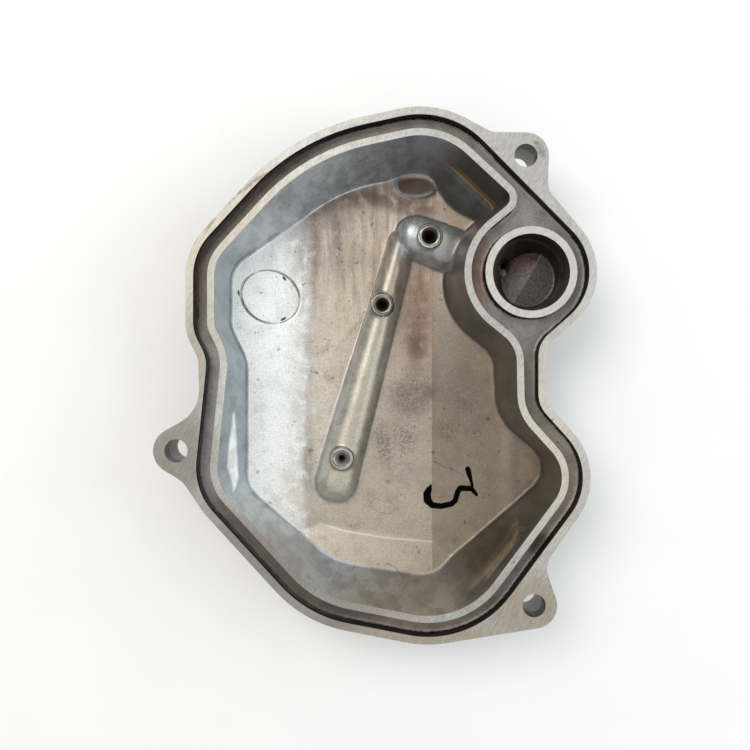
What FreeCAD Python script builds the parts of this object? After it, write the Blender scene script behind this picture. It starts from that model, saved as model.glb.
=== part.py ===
"""Die-cast aluminium valve cover, lying on its outer face with the open side up.

Every length is in millimetres and every angle in degrees. The mating face is the top plane, the
outer face stands on z = 0, and the origin is below the middle of the cover's outline.
"""
import FreeCAD
import Part

import os
from math import asin, atan2, cos, hypot, pi, radians, sin, sqrt, tan

from FreeCAD import Placement, Rotation, Vector

# Driving sizes, each written once here and read from the sheet everywhere else
SIZES = {
    # Pan and shell
    "pan_depth": 26.0,
    "floor_wall": 3.2,
    "side_wall": 3.0,
    # Rim flange and gasket groove
    "flange_thickness": 8.5,
    "outer_land": 2.3,
    "groove_width": 4.2,
    "groove_depth": 4.3,
    "inner_land": 2.1,
    # Rounds of the rim line, which is the groove's outer edge, clockwise from the top
    "top_x": 13.35,
    "top_y": 51.75,
    "top_radius": 26.7,
    "upper_waist_angle": -66.4,
    "upper_waist_radius": 9.0,
    "upper_waist_gap": 1.3,
    "lower_waist_angle": 61.56,
    "lower_waist_radius": 9.0,
    "lower_waist_gap": 1.66,
    "right_x": 44.25,
    "right_y": -30.75,
    "right_radius": 18.0,
    "bottom_right_x": 15.75,
    "bottom_right_y": -47.55,
    "bottom_right_radius": 30.9,
    "bottom_x": -1.7,
    "bottom_y": -38.95,
    "bottom_radius": 36.0,
    "bottom_left_x": -34.35,
    "bottom_left_y": -27.75,
    "bottom_left_radius": 19.5,
    "left_waist_angle": -144.16,
    "left_waist_radius": 10.8,
    "left_waist_gap": 0.3,
    "left_x": -43.65,
    "left_y": 16.0,
    "left_radius": 11.1,
    "upper_left_x": -36.75,
    "upper_left_y": 29.85,
    "upper_left_radius": 18.0,
    "upper_long_radius": 65.0,
    "upper_long_gap": 3.6,
    "upper_long_top_gap": 1.6,
    # Blends of the pan's mouth into the ring about the bore
    "upper_blend_radius": 9.3,
    "upper_blend_top_gap": 6.68,
    "upper_blend_gap": 1.0,
    "lower_blend_radius": 16.2,
    "lower_blend_gap": 0.6,
    "lower_blend_waist_gap": 1.9,
    # How far each round's foot at the floor is moved and drawn in from its mouth
    "top_foot_x": 0.9,
    "top_foot_y": -2.4,
    "top_draft": 3.6,
    "upper_blend_foot_radius": 1.5,
    "upper_blend_foot_top_gap": 3.33,
    "upper_blend_foot_gap": 0.3,
    "lower_blend_foot_radius": 8.7,
    "lower_blend_foot_gap": 0.5,
    "lower_blend_foot_waist_gap": 1.49,
    "lower_waist_draft": 3.3,
    "right_foot_x": 1.5,
    "right_foot_y": 0.6,
    "right_draft": 3.3,
    "bottom_right_foot_x": -0.6,
    "bottom_right_foot_y": -6.9,
    "bottom_right_draft": 13.5,
    "bottom_foot_x": -2.35,
    "bottom_foot_y": 1.6,
    "bottom_draft": 4.5,
    "bottom_left_foot_x": 3.6,
    "bottom_left_foot_y": -4.8,
    "bottom_left_draft": 2.1,
    "left_waist_foot_x": 5.4,
    "left_waist_foot_y": -1.95,
    "left_waist_draft": -3.0,
    "left_foot_x": 0.3,
    "left_foot_y": 0.65,
    "left_draft": 0.6,
    "upper_left_foot_x": -0.3,
    "upper_left_foot_y": 0.7,
    "upper_left_draft": 1.2,
    "upper_long_draft": 5.2,
    # Necks between the rim and the ears
    "upper_ear_neck_radius": 6.0,
    "upper_ear_neck_rim_gap": 0.76,
    "upper_ear_neck_gap": 2.74,
    "bore_neck_radius": 6.3,
    "bore_neck_rim_gap": 3.25,
    "bore_neck_gap": 1.98,
    "right_neck_radius": 6.9,
    "right_neck_rim_gap": 3.53,
    "right_neck_gap": 1.58,
    "left_ear_neck_radius": 6.6,
    "left_ear_neck_rim_gap": 1.2,
    "left_ear_neck_gap": 0.9,
    "left_ear_waist_angle": 102.96,
    "left_ear_waist_radius": 11.1,
    "left_ear_waist_gap": 0.73,
    # Bolt ears
    "ear_hole_radius": 3.5,
    "ear_radius": 6.9,
    "ear_thickness": 16.0,
    "ear_root": 9.0,
    "left_ear_x": -59.85,
    "left_ear_y": -22.6,
    "upper_ear_x": 45.15,
    "upper_ear_y": 66.05,
    "lower_ear_x": 47.6,
    "lower_ear_y": -69.05,
    # Bore boss
    "bore_x": 46.8,
    "bore_y": 31.05,
    "bore_radius": 11.6,
    "bore_depth": 8.0,
    "ring_land": 2.2,
    "ring_groove": 3.6,
    "well_radius": 11.0,
    "well_floor_radius": 7.3,
    "well_lean": 2.3,
    "ledge_depth": 12.5,
    "well_depth": 17.0,
    "ledge_angle": 27.0,
    "ledge_offset": 1.2,
    "boss_floor_wall": 3.2,
    "boss_taper": 1.0,
    "boss_draft": 3.9,
    # Facets of the floor
    "left_fold_x": -21.3,
    "left_fold_turn": 1.9,
    "left_facet_angle": 8.7,
    "right_fold_x": 18.9,
    "right_facet_angle": 7.8,
    "lower_fold_y": -52.4,
    "lower_fold_turn": 9.0,
    "lower_facet_angle": 14.0,
    # Rolled shelf in the upper right corner
    "shelf_x": 16.0,
    "shelf_y": 66.4,
    "shelf_turn": 42.0,
    "shelf_width": 14.0,
    "shelf_height": 12.4,
    "shelf_slope": 12.0,
    "shelf_draft": 20.0,
    "shelf_round": 5.0,
    # Oil rail and arm
    "rail_low_x": -13.0,
    "rail_low_y": -35.4,
    "rail_low_radius": 6.8,
    "rail_top_x": 7.8,
    "rail_top_y": 46.0,
    "rail_top_radius": 4.3,
    "rail_height": 6.0,
    "rail_side": 1.5,
    "rail_round": 2.0,
    "arm_head_x": 13.4,
    "arm_head_y": 45.9,
    "arm_turn": 19.5,
    "arm_length": 24.0,
    "arm_head_radius": 6.8,
    "arm_root_radius": 7.6,
    "arm_height": 9.0,
    "arm_side": 1.8,
    "arm_round": 2.3,
    # Oil nozzles and the passages that feed them
    "nozzle_radius": 3.7,
    "nozzle_cone_radius": 2.5,
    "nozzle_cone_depth": 2.6,
    "nozzle_proud": 0.7,
    "jet_radius": 0.8,
    "lower_nozzle_reach": 8.4,
    "middle_nozzle_reach": 60.5,
    "arm_nozzle_reach": 4.2,
    "passage_radius": 1.8,
    "passage_rise": 1.9,
    "feed_radius": 2.3,
    "feed_rise": 4.0,
    "feed_aside": 1.2,
    # Oval pad at the foot of the upper wall
    "pad_x": 14.1,
    "pad_y": 62.4,
    "pad_half_length": 6.9,
    "pad_half_width": 4.2,
    "pad_height": 1.1,
    "pad_relief": 5.0,
}

# Level of the mating face, as an expression on the sheet
TOP = "(sizes.pan_depth + sizes.floor_wall)"
# Level inside the floor from which everything that stands on it starts
ROOT = "(sizes.floor_wall / 2)"

# Large enough to reach past the whole cover from any point in it
REACH = 200.0
# How far a cutting solid runs past the face that it opens
OVERSHOOT = 1.0
# Two places nearer to each other than this are the same
SAME = 0.01
# Bevels in the rounded top edge of a rib
BEVELS = 3
# Sides of a line, seen along it
LEFT = 1
RIGHT = -1


def make_sheet(doc):
    """The sheet of driving sizes, one row each, with the size's own name as its alias."""
    sheet = doc.addObject("Spreadsheet::Sheet", "sizes")
    for row, (name, value) in enumerate(SIZES.items(), start=1):
        sheet.set(f"A{row}", name)
        sheet.set(f"B{row}", str(value))
        sheet.setAlias(f"B{row}", name)
    doc.recompute()
    return sheet


def bind(thing, bindings):
    """Ties properties of a document object to expressions on the sheet."""
    for prop, expression in bindings.items():
        thing.setExpression(prop, expression)
    return thing


def round_at(s, name):
    """A round of an outline from its named sizes: a centre, and the radius that it bulges by."""
    return (getattr(s, f"{name}_x"), getattr(s, f"{name}_y"), getattr(s, f"{name}_radius"))


def round_beside(base, angle, radius, gap):
    """A round at an angle from another and a small gap clear of touching it, so a line joins them."""
    x, y, base_radius = base
    distance = abs(base_radius - radius) + gap
    return (x + distance * cos(radians(angle)), y + distance * sin(radians(angle)), radius)


def round_between(first, second, side, radius, first_gap, second_gap):
    """A round that blends two others with small gaps, left or right of the line between them."""
    along = Vector(second[0] - first[0], second[1] - first[1], 0)
    near = abs(first[2] - radius) + first_gap
    far = abs(second[2] - radius) + second_gap
    reach = (along.Length ** 2 + near ** 2 - far ** 2) / (2 * along.Length)
    aside = side * sqrt(near ** 2 - reach ** 2)
    along.normalize()
    return (first[0] + along.x * reach - along.y * aside,
            first[1] + along.y * reach + along.x * aside, radius)


def belt_edges(rounds, offset):
    """Arcs and tangent lines of the outline that runs clockwise round the rounds, moved outwards."""
    count = len(rounds)
    headings = []
    for i, (x1, y1, r1) in enumerate(rounds):
        x2, y2, r2 = rounds[(i + 1) % count]
        centre_line = atan2(y2 - y1, x2 - x1)
        headings.append(centre_line - asin((r1 - r2) / hypot(x2 - x1, y2 - y1)))

    def point(i, heading):
        x, y, radius = rounds[i]
        return Vector(x - (radius + offset) * sin(heading), y + (radius + offset) * cos(heading), 0)

    edges = []
    for i in range(count):
        before = headings[i - 1]
        turn = (headings[i] - before) % (2 * pi)
        if rounds[i][2] > 0:
            turn -= 2 * pi
        start, middle, end = (point(i, before + share * turn) for share in (0, 0.5, 1))
        edges.append(Part.Arc(start, middle, end))
        edges.append(Part.LineSegment(end, point((i + 1) % count, headings[i])))
    return edges


def outline(doc, name, rounds, offset, level):
    """A sketch of one outline, lying at a level that is an expression on the sheet."""
    sketch = doc.addObject("Sketcher::SketchObject", name)
    sketch.addGeometry(belt_edges(rounds, offset), False)
    return bind(sketch, {"Placement.Base.z": level})


def loft(doc, name, sketches):
    """A straight-sided solid between outlines."""
    solid = doc.addObject("Part::Loft", name)
    solid.Sections = sketches
    solid.Solid = True
    solid.Ruled = True
    return solid


def extrude(doc, name, sketch, length):
    """A prism up from a sketch."""
    solid = doc.addObject("Part::Extrusion", name)
    solid.Base = sketch
    solid.DirMode = "Custom"
    solid.Dir = Vector(0, 0, 1)
    solid.Solid = True
    return bind(solid, {"LengthFwd": length})


def cylinder(doc, name, radius, height, x, y, z):
    """An upright cylinder."""
    return bind(doc.addObject("Part::Cylinder", name), {
        "Radius": radius, "Height": height,
        "Placement.Base.x": x, "Placement.Base.y": y, "Placement.Base.z": z,
    })


def cone(doc, name, low_radius, top_radius, height, place):
    """An upright cone at a place that is worked out from the sheet."""
    solid = bind(doc.addObject("Part::Cone", name), {
        "Radius1": low_radius, "Radius2": top_radius, "Height": height,
    })
    solid.Placement.Base = place
    return solid


def join(doc, name, parts):
    """The union of several solids."""
    solid = doc.addObject("Part::MultiFuse", name)
    solid.Shapes = parts
    return solid


def cut(doc, name, base, tool):
    """One solid less another."""
    solid = doc.addObject("Part::Cut", name)
    solid.Base = base
    solid.Tool = tool
    return solid


def drill(doc, name, radius, start, end):
    """A round passage from one point to another."""
    hole = bind(doc.addObject("Part::Cylinder", name), {"Radius": radius})
    hole.Height = (end - start).Length
    hole.Placement = Placement(start, Rotation(Vector(0, 0, 1), end - start))
    return hole


def round_edges(doc, name, base, radius, wanted):
    """Fillets the edges of a solid that the test picks."""
    doc.recompute()
    numbers = [i for i, edge in enumerate(base.Shape.Edges, start=1) if wanted(base.Shape, edge)]
    solid = doc.addObject("Part::Fillet", name)
    solid.Base = base
    solid.Edges = [(i, radius, radius) for i in numbers]
    return solid


def rim_rounds(s):
    """The groove's outer edge, clockwise from the top: the line that the rim follows."""
    top = round_at(s, "top")
    bore = (s.bore_x, s.bore_y, s.bore_radius + s.ring_land + s.ring_groove)
    right = round_at(s, "right")
    left = round_at(s, "left")
    upper_left = round_at(s, "upper_left")
    return {
        "top": top,
        "bore": bore,
        "upper_waist": round_beside(bore, s.upper_waist_angle, -s.upper_waist_radius,
                                    s.upper_waist_gap),
        "lower_waist": round_beside(right, s.lower_waist_angle, -s.lower_waist_radius,
                                    s.lower_waist_gap),
        "right": right,
        "bottom_right": round_at(s, "bottom_right"),
        "bottom": round_at(s, "bottom"),
        "bottom_left": round_at(s, "bottom_left"),
        "left_waist": round_beside(left, s.left_waist_angle, -s.left_waist_radius,
                                   s.left_waist_gap),
        "left": left,
        "upper_left": upper_left,
        "upper_long": round_between(upper_left, top, RIGHT, s.upper_long_radius,
                                    s.upper_long_gap, s.upper_long_top_gap),
    }


def outer_rounds(s):
    """The flange's outer edge less the outer land: the rim line with the three ears let in."""
    rim = rim_rounds(s)
    land = s.outer_land

    def ear(name):
        return (getattr(s, f"{name}_ear_x"), getattr(s, f"{name}_ear_y"), s.ear_radius - land)

    left, upper, lower = ear("left"), ear("upper"), ear("lower")
    return [
        rim["top"],
        round_between(rim["top"], upper, LEFT, -s.upper_ear_neck_radius - land,
                      s.upper_ear_neck_rim_gap, s.upper_ear_neck_gap),
        upper,
        round_between(upper, rim["bore"], LEFT, -s.bore_neck_radius - land,
                      s.bore_neck_gap, s.bore_neck_rim_gap),
        rim["bore"], rim["upper_waist"], rim["lower_waist"], rim["right"],
        round_between(rim["right"], lower, LEFT, -s.right_neck_radius - land,
                      s.right_neck_rim_gap, s.right_neck_gap),
        lower,
        rim["bottom_right"], rim["bottom"], rim["bottom_left"],
        round_between(rim["bottom_left"], left, LEFT, -s.left_ear_neck_radius - land,
                      s.left_ear_neck_rim_gap, s.left_ear_neck_gap),
        left,
        round_beside(left, s.left_ear_waist_angle, -s.left_ear_waist_radius - land,
                     s.left_ear_waist_gap),
        rim["left_waist"], rim["left"], rim["upper_left"], rim["upper_long"],
    ]


def pan_rounds(s):
    """The rim line with the bore left out: the line that the inner land and the pan follow."""
    rim = rim_rounds(s)
    ring = (s.bore_x, s.bore_y, -s.bore_radius - s.ring_land)
    rounds = {
        "top": rim["top"],
        "upper_blend": round_between(rim["top"], ring, LEFT, s.upper_blend_radius,
                                     s.upper_blend_top_gap, s.upper_blend_gap),
        "ring": ring,
        "lower_blend": round_between(ring, rim["lower_waist"], RIGHT, s.lower_blend_radius,
                                     s.lower_blend_gap, s.lower_blend_waist_gap),
    }
    kept = ["lower_waist", "right", "bottom_right", "bottom", "bottom_left",
            "left_waist", "left", "upper_left", "upper_long"]
    return rounds | {name: rim[name] for name in kept}


def foot_rounds(s):
    """The foot of the pan's wall at the level of the floor, round for round as pan_rounds."""
    mouth = pan_rounds(s)
    inset = s.groove_width + s.inner_land
    ring = (s.bore_x, s.bore_y, mouth["ring"][2] - inset - s.boss_draft)

    def foot(name, moved=True):
        x, y, radius = mouth[name]
        if moved:
            x += getattr(s, f"{name}_foot_x")
            y += getattr(s, f"{name}_foot_y")
        return (x, y, radius - inset - getattr(s, f"{name}_draft"))

    lower_waist = foot("lower_waist", moved=False)
    top = foot("top")
    return [
        top,
        round_between(top, ring, LEFT, s.upper_blend_foot_radius,
                      s.upper_blend_foot_top_gap, s.upper_blend_foot_gap),
        ring,
        round_between(ring, lower_waist, RIGHT, s.lower_blend_foot_radius,
                      s.lower_blend_foot_gap, s.lower_blend_foot_waist_gap),
        lower_waist,
        foot("right"), foot("bottom_right"), foot("bottom"), foot("bottom_left"),
        foot("left_waist"), foot("left"), foot("upper_left"), foot("upper_long", moved=False),
    ]


def facet_blocks(doc, s, name, level):
    """Three great blocks whose top faces are the floor's sloping facets."""
    folds = {
        "left": (s.left_fold_x, 0, 180 + s.left_fold_turn, s.left_facet_angle),
        "right": (s.right_fold_x, 0, 0, s.right_facet_angle),
        "lower": (0, s.lower_fold_y, -90 - s.lower_fold_turn, s.lower_facet_angle),
    }
    blocks = []
    for side, (x, y, heading, slope) in folds.items():
        block = doc.addObject("Part::Box", f"{name}_{side}")
        block.Length = REACH
        block.Width = 2 * REACH
        block.Height = REACH
        turn = Rotation(Vector(0, 0, 1), heading) * Rotation(Vector(0, 1, 0), -slope)
        place = Placement(Vector(x, y, level), turn)
        block.Placement = place * Placement(Vector(0, -REACH, -REACH), Rotation())
        blocks.append(block)
    return join(doc, f"{name}_blocks", blocks)


def make_shell(doc, s):
    """The outer skin: flange with its ears, drafted shell with a faceted underside, and bosses."""
    under_flange = f"{TOP} - sizes.flange_thickness"
    flange = extrude(doc, "flange",
                     outline(doc, "flange_outline", outer_rounds(s), s.outer_land, under_flange),
                     "sizes.flange_thickness")
    to_pan = -(s.groove_width + s.inner_land)
    shell = loft(doc, "shell_sides", [
        outline(doc, "shell_low", foot_rounds(s), s.side_wall, "0"),
        outline(doc, "shell_high", list(pan_rounds(s).values()), to_pan + s.side_wall,
                under_flange),
    ])
    underside = facet_blocks(doc, s, "underside", 0)
    parts = [flange, cut(doc, "shell", shell, underside)]
    parts += ear_bosses(doc, s)
    parts.append(bore_boss(doc))
    return join(doc, "outer_body", parts)


def ear_bosses(doc, s):
    """A boss behind each ear, drawn in towards the shell so that it stands on the wall."""
    bosses = []
    for ear in ("left", "upper", "lower"):
        x = getattr(s, f"{ear}_ear_x")
        y = getattr(s, f"{ear}_ear_y")
        inwards = Vector(-x, -y, 0).normalize() * s.ear_root
        rounds = [(x, y, s.ear_radius), (x + inwards.x, y + inwards.y, s.ear_radius)]
        sketch = outline(doc, f"{ear}_ear_outline", rounds, 0, f"{TOP} - sizes.ear_thickness")
        bosses.append(extrude(doc, f"{ear}_ear_boss", sketch, "sizes.ear_thickness"))
    return bosses


def bore_boss(doc):
    """The closed boss behind the bore, as wide as the rim's bulge and slightly tapered."""
    bulge = "(sizes.bore_radius + sizes.ring_land + sizes.ring_groove + sizes.outer_land)"
    depth = "(sizes.well_depth + sizes.boss_floor_wall)"
    return bind(doc.addObject("Part::Cone", "bore_boss"), {
        "Radius1": f"{bulge} - sizes.boss_taper",
        "Radius2": bulge,
        "Height": f"{depth} - sizes.flange_thickness",
        "Placement.Base.x": "sizes.bore_x",
        "Placement.Base.y": "sizes.bore_y",
        "Placement.Base.z": f"{TOP} - {depth}",
    })


def make_pan(doc, s):
    """The hollow of the pan, less everything that stands up from its floor."""
    to_pan = -(s.groove_width + s.inner_land)
    sides = loft(doc, "pan_sides", [
        outline(doc, "pan_foot", foot_rounds(s), 0, "sizes.floor_wall"),
        outline(doc, "pan_mouth", list(pan_rounds(s).values()), to_pan, TOP),
    ])
    blocks = facet_blocks(doc, s, "floor", s.floor_wall)
    hollow = cut(doc, "pan_hollow", sides, blocks)
    standing = join(doc, "standing_forms", [
        make_shelf(doc, s),
        make_rail(doc, s),
        make_arm(doc, s),
        make_pad(doc, s),
    ] + nozzle_bosses(doc, s))
    return cut(doc, "pan", hollow, standing)


def make_shelf(doc, s):
    """The shelf that rolls over from the upper right wall down to the floor."""
    along = Vector(cos(radians(s.shelf_turn)), -sin(radians(s.shelf_turn)), 0)
    outwards = Vector(-along.y, along.x, 0)
    low = -s.floor_wall / 2
    lean = tan(radians(s.shelf_draft))
    corners = [
        Vector(low * lean, low, 0),
        Vector(s.shelf_height * lean, s.shelf_height, 0),
        Vector(s.shelf_width, s.shelf_height
               + (s.shelf_width - s.shelf_height * lean) * tan(radians(s.shelf_slope)), 0),
        Vector(s.shelf_width, low, 0),
    ]
    profile = doc.addObject("Sketcher::SketchObject", "shelf_profile")
    profile.addGeometry([Part.LineSegment(corners[i - 1], corners[i]) for i in range(4)], False)
    foot = Vector(s.shelf_x, s.shelf_y, s.floor_wall)
    profile.Placement = Placement(foot, Rotation(outwards, Vector(0, 0, 1), along, "ZXY"))
    to_bore = Vector(s.bore_x, s.bore_y, 0) - Vector(s.shelf_x, s.shelf_y, 0)
    block = extrude(doc, "shelf_block", profile, str(to_bore.dot(along)))
    block.Dir = along

    def wanted(shape, edge):
        local = [profile.Placement.inverse().multVec(vertex.Point) for vertex in edge.Vertexes]
        on_lip = all((point - corners[1]).cross(Vector(0, 0, 1)).Length < SAME for point in local)
        on_end = all(abs(point.z) < SAME for point in local) and local[0].x < s.shelf_width - SAME
        return on_lip or (on_end and all(point.y > low + SAME for point in local))

    return round_edges(doc, "shelf", block, s.shelf_round, wanted)


def rib(doc, s, name, rounds):
    """A drafted rib that stands on the floor, with its top edge rolled over in narrow bevels."""
    height = getattr(s, f"{name}_height")
    rolled = getattr(s, f"{name}_round")
    side = getattr(s, f"{name}_side")
    sections = [outline(doc, f"{name}_low", rounds, 0, ROOT)]
    for step in range(BEVELS + 1):
        turn = radians(90 * step / BEVELS)
        level = height - rolled * (1 - sin(turn))
        inset = side + rolled * (1 - cos(turn))
        sections.append(outline(doc, f"{name}_bevel_{step}", rounds, -inset,
                                f"sizes.floor_wall + {level}"))
    return loft(doc, name, sections)


def make_rail(doc, s):
    """The oil rail along the floor."""
    rounds = [round_at(s, "rail_low"), round_at(s, "rail_top")]
    return rib(doc, s, "rail", rounds)


def rail_direction(s):
    """The way along the rail, from its low end up to the arm."""
    return Vector(s.rail_top_x - s.rail_low_x, s.rail_top_y - s.rail_low_y, 0).normalize()


def arm_direction(s):
    """The way along the arm, from its head to the bore boss."""
    return Vector(cos(radians(s.arm_turn)), -sin(radians(s.arm_turn)), 0)


def make_arm(doc, s):
    """The arm from the rail's upper end to the bore boss."""
    root = Vector(s.arm_head_x, s.arm_head_y, 0) + arm_direction(s) * s.arm_length
    rounds = [round_at(s, "arm_head"), (root.x, root.y, s.arm_root_radius)]
    return rib(doc, s, "arm", rounds)


def make_pad(doc, s):
    """The oval pad at the foot of the upper wall."""
    return oval(doc, s, "pad", s.floor_wall / 2, s.floor_wall / 2 + s.pad_height)


def oval(doc, s, name, level, height):
    """An upright oval prism on the pad's outline."""
    ellipse = Part.Ellipse(Vector(s.pad_x, s.pad_y, level), s.pad_half_length, s.pad_half_width)
    face = Part.Face(Part.Wire(ellipse.toShape()))
    prism = doc.addObject("Part::Feature", name)
    prism.Shape = face.extrude(Vector(0, 0, height))
    return prism


def nozzle_places(s):
    """Where the three nozzles stand, as points on the tops of the ribs."""
    low = Vector(s.rail_low_x, s.rail_low_y, s.floor_wall + s.rail_height)
    head = Vector(s.arm_head_x, s.arm_head_y, s.floor_wall + s.arm_height)
    return {
        "lower": low + rail_direction(s) * s.lower_nozzle_reach,
        "middle": low + rail_direction(s) * s.middle_nozzle_reach,
        "arm": head + arm_direction(s) * s.arm_nozzle_reach,
    }


def nozzle_bosses(doc, s):
    """A round boss with a machined ring on top for each nozzle."""
    bosses = []
    for name, place in nozzle_places(s).items():
        boss = bind(doc.addObject("Part::Cylinder", f"{name}_nozzle_boss"), {
            "Radius": "sizes.nozzle_radius",
            "Height": f"{place.z} + sizes.nozzle_proud - {ROOT}",
        })
        boss.Placement.Base = Vector(place.x, place.y, s.floor_wall / 2)
        bosses.append(boss)
    return bosses


def nozzle_holes(doc, s):
    """The cone and the jet hole of each nozzle, down to the passage that feeds it."""
    holes = []
    for name, place in nozzle_places(s).items():
        top = place.z + s.nozzle_proud
        holes.append(cone(doc, f"{name}_nozzle_cone", "sizes.jet_radius", "sizes.nozzle_cone_radius",
                          "sizes.nozzle_cone_depth",
                          Vector(place.x, place.y, top - s.nozzle_cone_depth)))
        depth = top - s.floor_wall - s.passage_rise
        jet = bind(doc.addObject("Part::Cylinder", f"{name}_jet"), {"Radius": "sizes.jet_radius"})
        jet.Height = depth
        jet.Placement.Base = Vector(place.x, place.y, top - depth)
        holes.append(jet)
    return holes


def passages(doc, s):
    """The drilled ways from the well of the bore through the arm and along the rail."""
    level = s.floor_wall + s.passage_rise
    low = Vector(s.rail_low_x, s.rail_low_y, level)
    high = Vector(s.rail_top_x, s.rail_top_y, level)
    head = Vector(s.arm_head_x, s.arm_head_y, level)
    well = Vector(s.bore_x, s.bore_y + s.feed_aside,
                  s.floor_wall + s.pan_depth - s.well_depth + s.feed_rise)
    return [
        drill(doc, "rail_passage", "sizes.passage_radius", low, high),
        drill(doc, "arm_passage", "sizes.passage_radius", high, head),
        drill(doc, "feed_passage", "sizes.feed_radius", head, well),
    ]


def make_groove(doc, s):
    """The gasket groove: inside the rim line, outside the inner land and outside the ring."""
    level = f"{TOP} - sizes.groove_depth"
    rim = list(rim_rounds(s).values())
    whole = extrude(doc, "groove_outer", outline(doc, "groove_outer_line", rim, 0, level),
                    "2 * sizes.groove_depth")
    inner = outline(doc, "groove_inner_line", list(pan_rounds(s).values()), -s.groove_width, level)
    kept = join(doc, "groove_kept", [
        extrude(doc, "inner_land", inner, "2 * sizes.groove_depth"),
        cylinder(doc, "ring", "sizes.bore_radius + sizes.ring_land", "2 * sizes.groove_depth",
                 "sizes.bore_x", "sizes.bore_y", level),
    ])
    return cut(doc, "groove", whole, kept)


def ledge_direction(s):
    """The way from the middle of the well to the ledge."""
    return Vector(cos(radians(s.ledge_angle)), -sin(radians(s.ledge_angle)), 0)


def circle(doc, name, centre, radius, level):
    """A circle to loft from, at a level that is an expression on the sheet."""
    ring = bind(doc.addObject("Part::Circle", name), {"Radius": radius, "Placement.Base.z": level})
    ring.Placement.Base.x = centre.x
    ring.Placement.Base.y = centre.y
    return ring


def make_bore(doc, s):
    """The machined counterbore, the cast well below it and the half-moon ledge in the well."""
    x, y = "sizes.bore_x", "sizes.bore_y"
    bore = cylinder(doc, "counterbore", "sizes.bore_radius", f"sizes.bore_depth + {OVERSHOOT}",
                    x, y, f"{TOP} - sizes.bore_depth")
    lean = ledge_direction(s) * s.well_lean
    well = loft(doc, "well", [
        circle(doc, "well_floor", Vector(s.bore_x, s.bore_y, 0) + lean, "sizes.well_floor_radius",
               f"{TOP} - sizes.well_depth"),
        circle(doc, "well_mouth", Vector(s.bore_x, s.bore_y, 0), "sizes.well_radius",
               f"{TOP} - sizes.bore_depth"),
    ])
    ledge = doc.addObject("Part::Box", "ledge")
    ledge.Length = REACH
    ledge.Width = 2 * REACH
    ledge.Height = REACH
    turn = Rotation(Vector(0, 0, 1), -s.ledge_angle)
    level = s.pan_depth + s.floor_wall - s.ledge_depth
    ledge.Placement = Placement(Vector(s.bore_x, s.bore_y, level), turn) * Placement(
        Vector(s.ledge_offset, -REACH, -REACH), Rotation())
    return [bore, cut(doc, "stepped_well", well, ledge)]


def ear_holes(doc):
    """The three bolt holes, through the ears and their bosses."""
    return [
        cylinder(doc, f"{ear}_ear_hole", "sizes.ear_hole_radius",
                 f"{TOP} + {OVERSHOOT}",
                 f"sizes.{ear}_ear_x", f"sizes.{ear}_ear_y", "0")
        for ear in ("left", "upper", "lower")
    ]


def make_cover(doc, s):
    """The whole casting with everything that is cored, milled or drilled out of it."""
    relief = oval(doc, s, "pad_relief", s.floor_wall + s.pad_height, s.pad_relief)
    removed = [make_pan(doc, s), make_groove(doc, s), relief]
    removed += make_bore(doc, s)
    removed += ear_holes(doc)
    removed += nozzle_holes(doc, s)
    removed += passages(doc, s)
    cover = cut(doc, "valve_cover", make_shell(doc, s), join(doc, "removed", removed))
    cover.Label = "valve_cover"
    return cover


def check(doc, nodes):
    """Stops if any object failed, or if a piece isn't one valid solid."""
    failed = [thing.Name for thing in doc.Objects
              if "Invalid" in thing.State or "Error" in thing.State]
    if failed:
        raise RuntimeError(f"failed objects: {failed}")
    for node in nodes:
        shape = node.Shape
        if shape.isNull() or not shape.isValid() or len(shape.Solids) != 1:
            raise RuntimeError(f"{node.Label} isn't one valid solid")
        box = shape.BoundBox
        print(node.Label, f"volume {shape.Volume:.0f}",
              f"box {box.XMin:.2f} {box.YMin:.2f} {box.ZMin:.2f} "
              f"{box.XMax:.2f} {box.YMax:.2f} {box.ZMax:.2f}")


def main():
    """Builds the document, checks it and writes one file for each piece."""
    doc = FreeCAD.newDocument("valve_cover")
    sheet = make_sheet(doc)
    cover = make_cover(doc, sheet)
    doc.recompute()
    check(doc, [cover])
    os.makedirs("parts", exist_ok=True)
    cover.Shape.exportStep(f"parts/{cover.Label}.step")


main()
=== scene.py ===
# %% [markdown]
# # A die-cast valve cover, open side up
# The part is one aluminium casting that lies on its outer face, so the camera looks straight into it.
# The imported model gives its exact shape. This script adds what casting, milling, boring and use leave:
# soft fillets, crisp milled lands, ejector and tool marks, oil stains, scratches and a marker stroke.
# Some light and shade is painted into the colours as well: reflections, highlights and shade.

# %% Load the imported part
import math
import bpy
import numpy as np
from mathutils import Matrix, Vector
from mathutils.bvhtree import BVHTree


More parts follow.
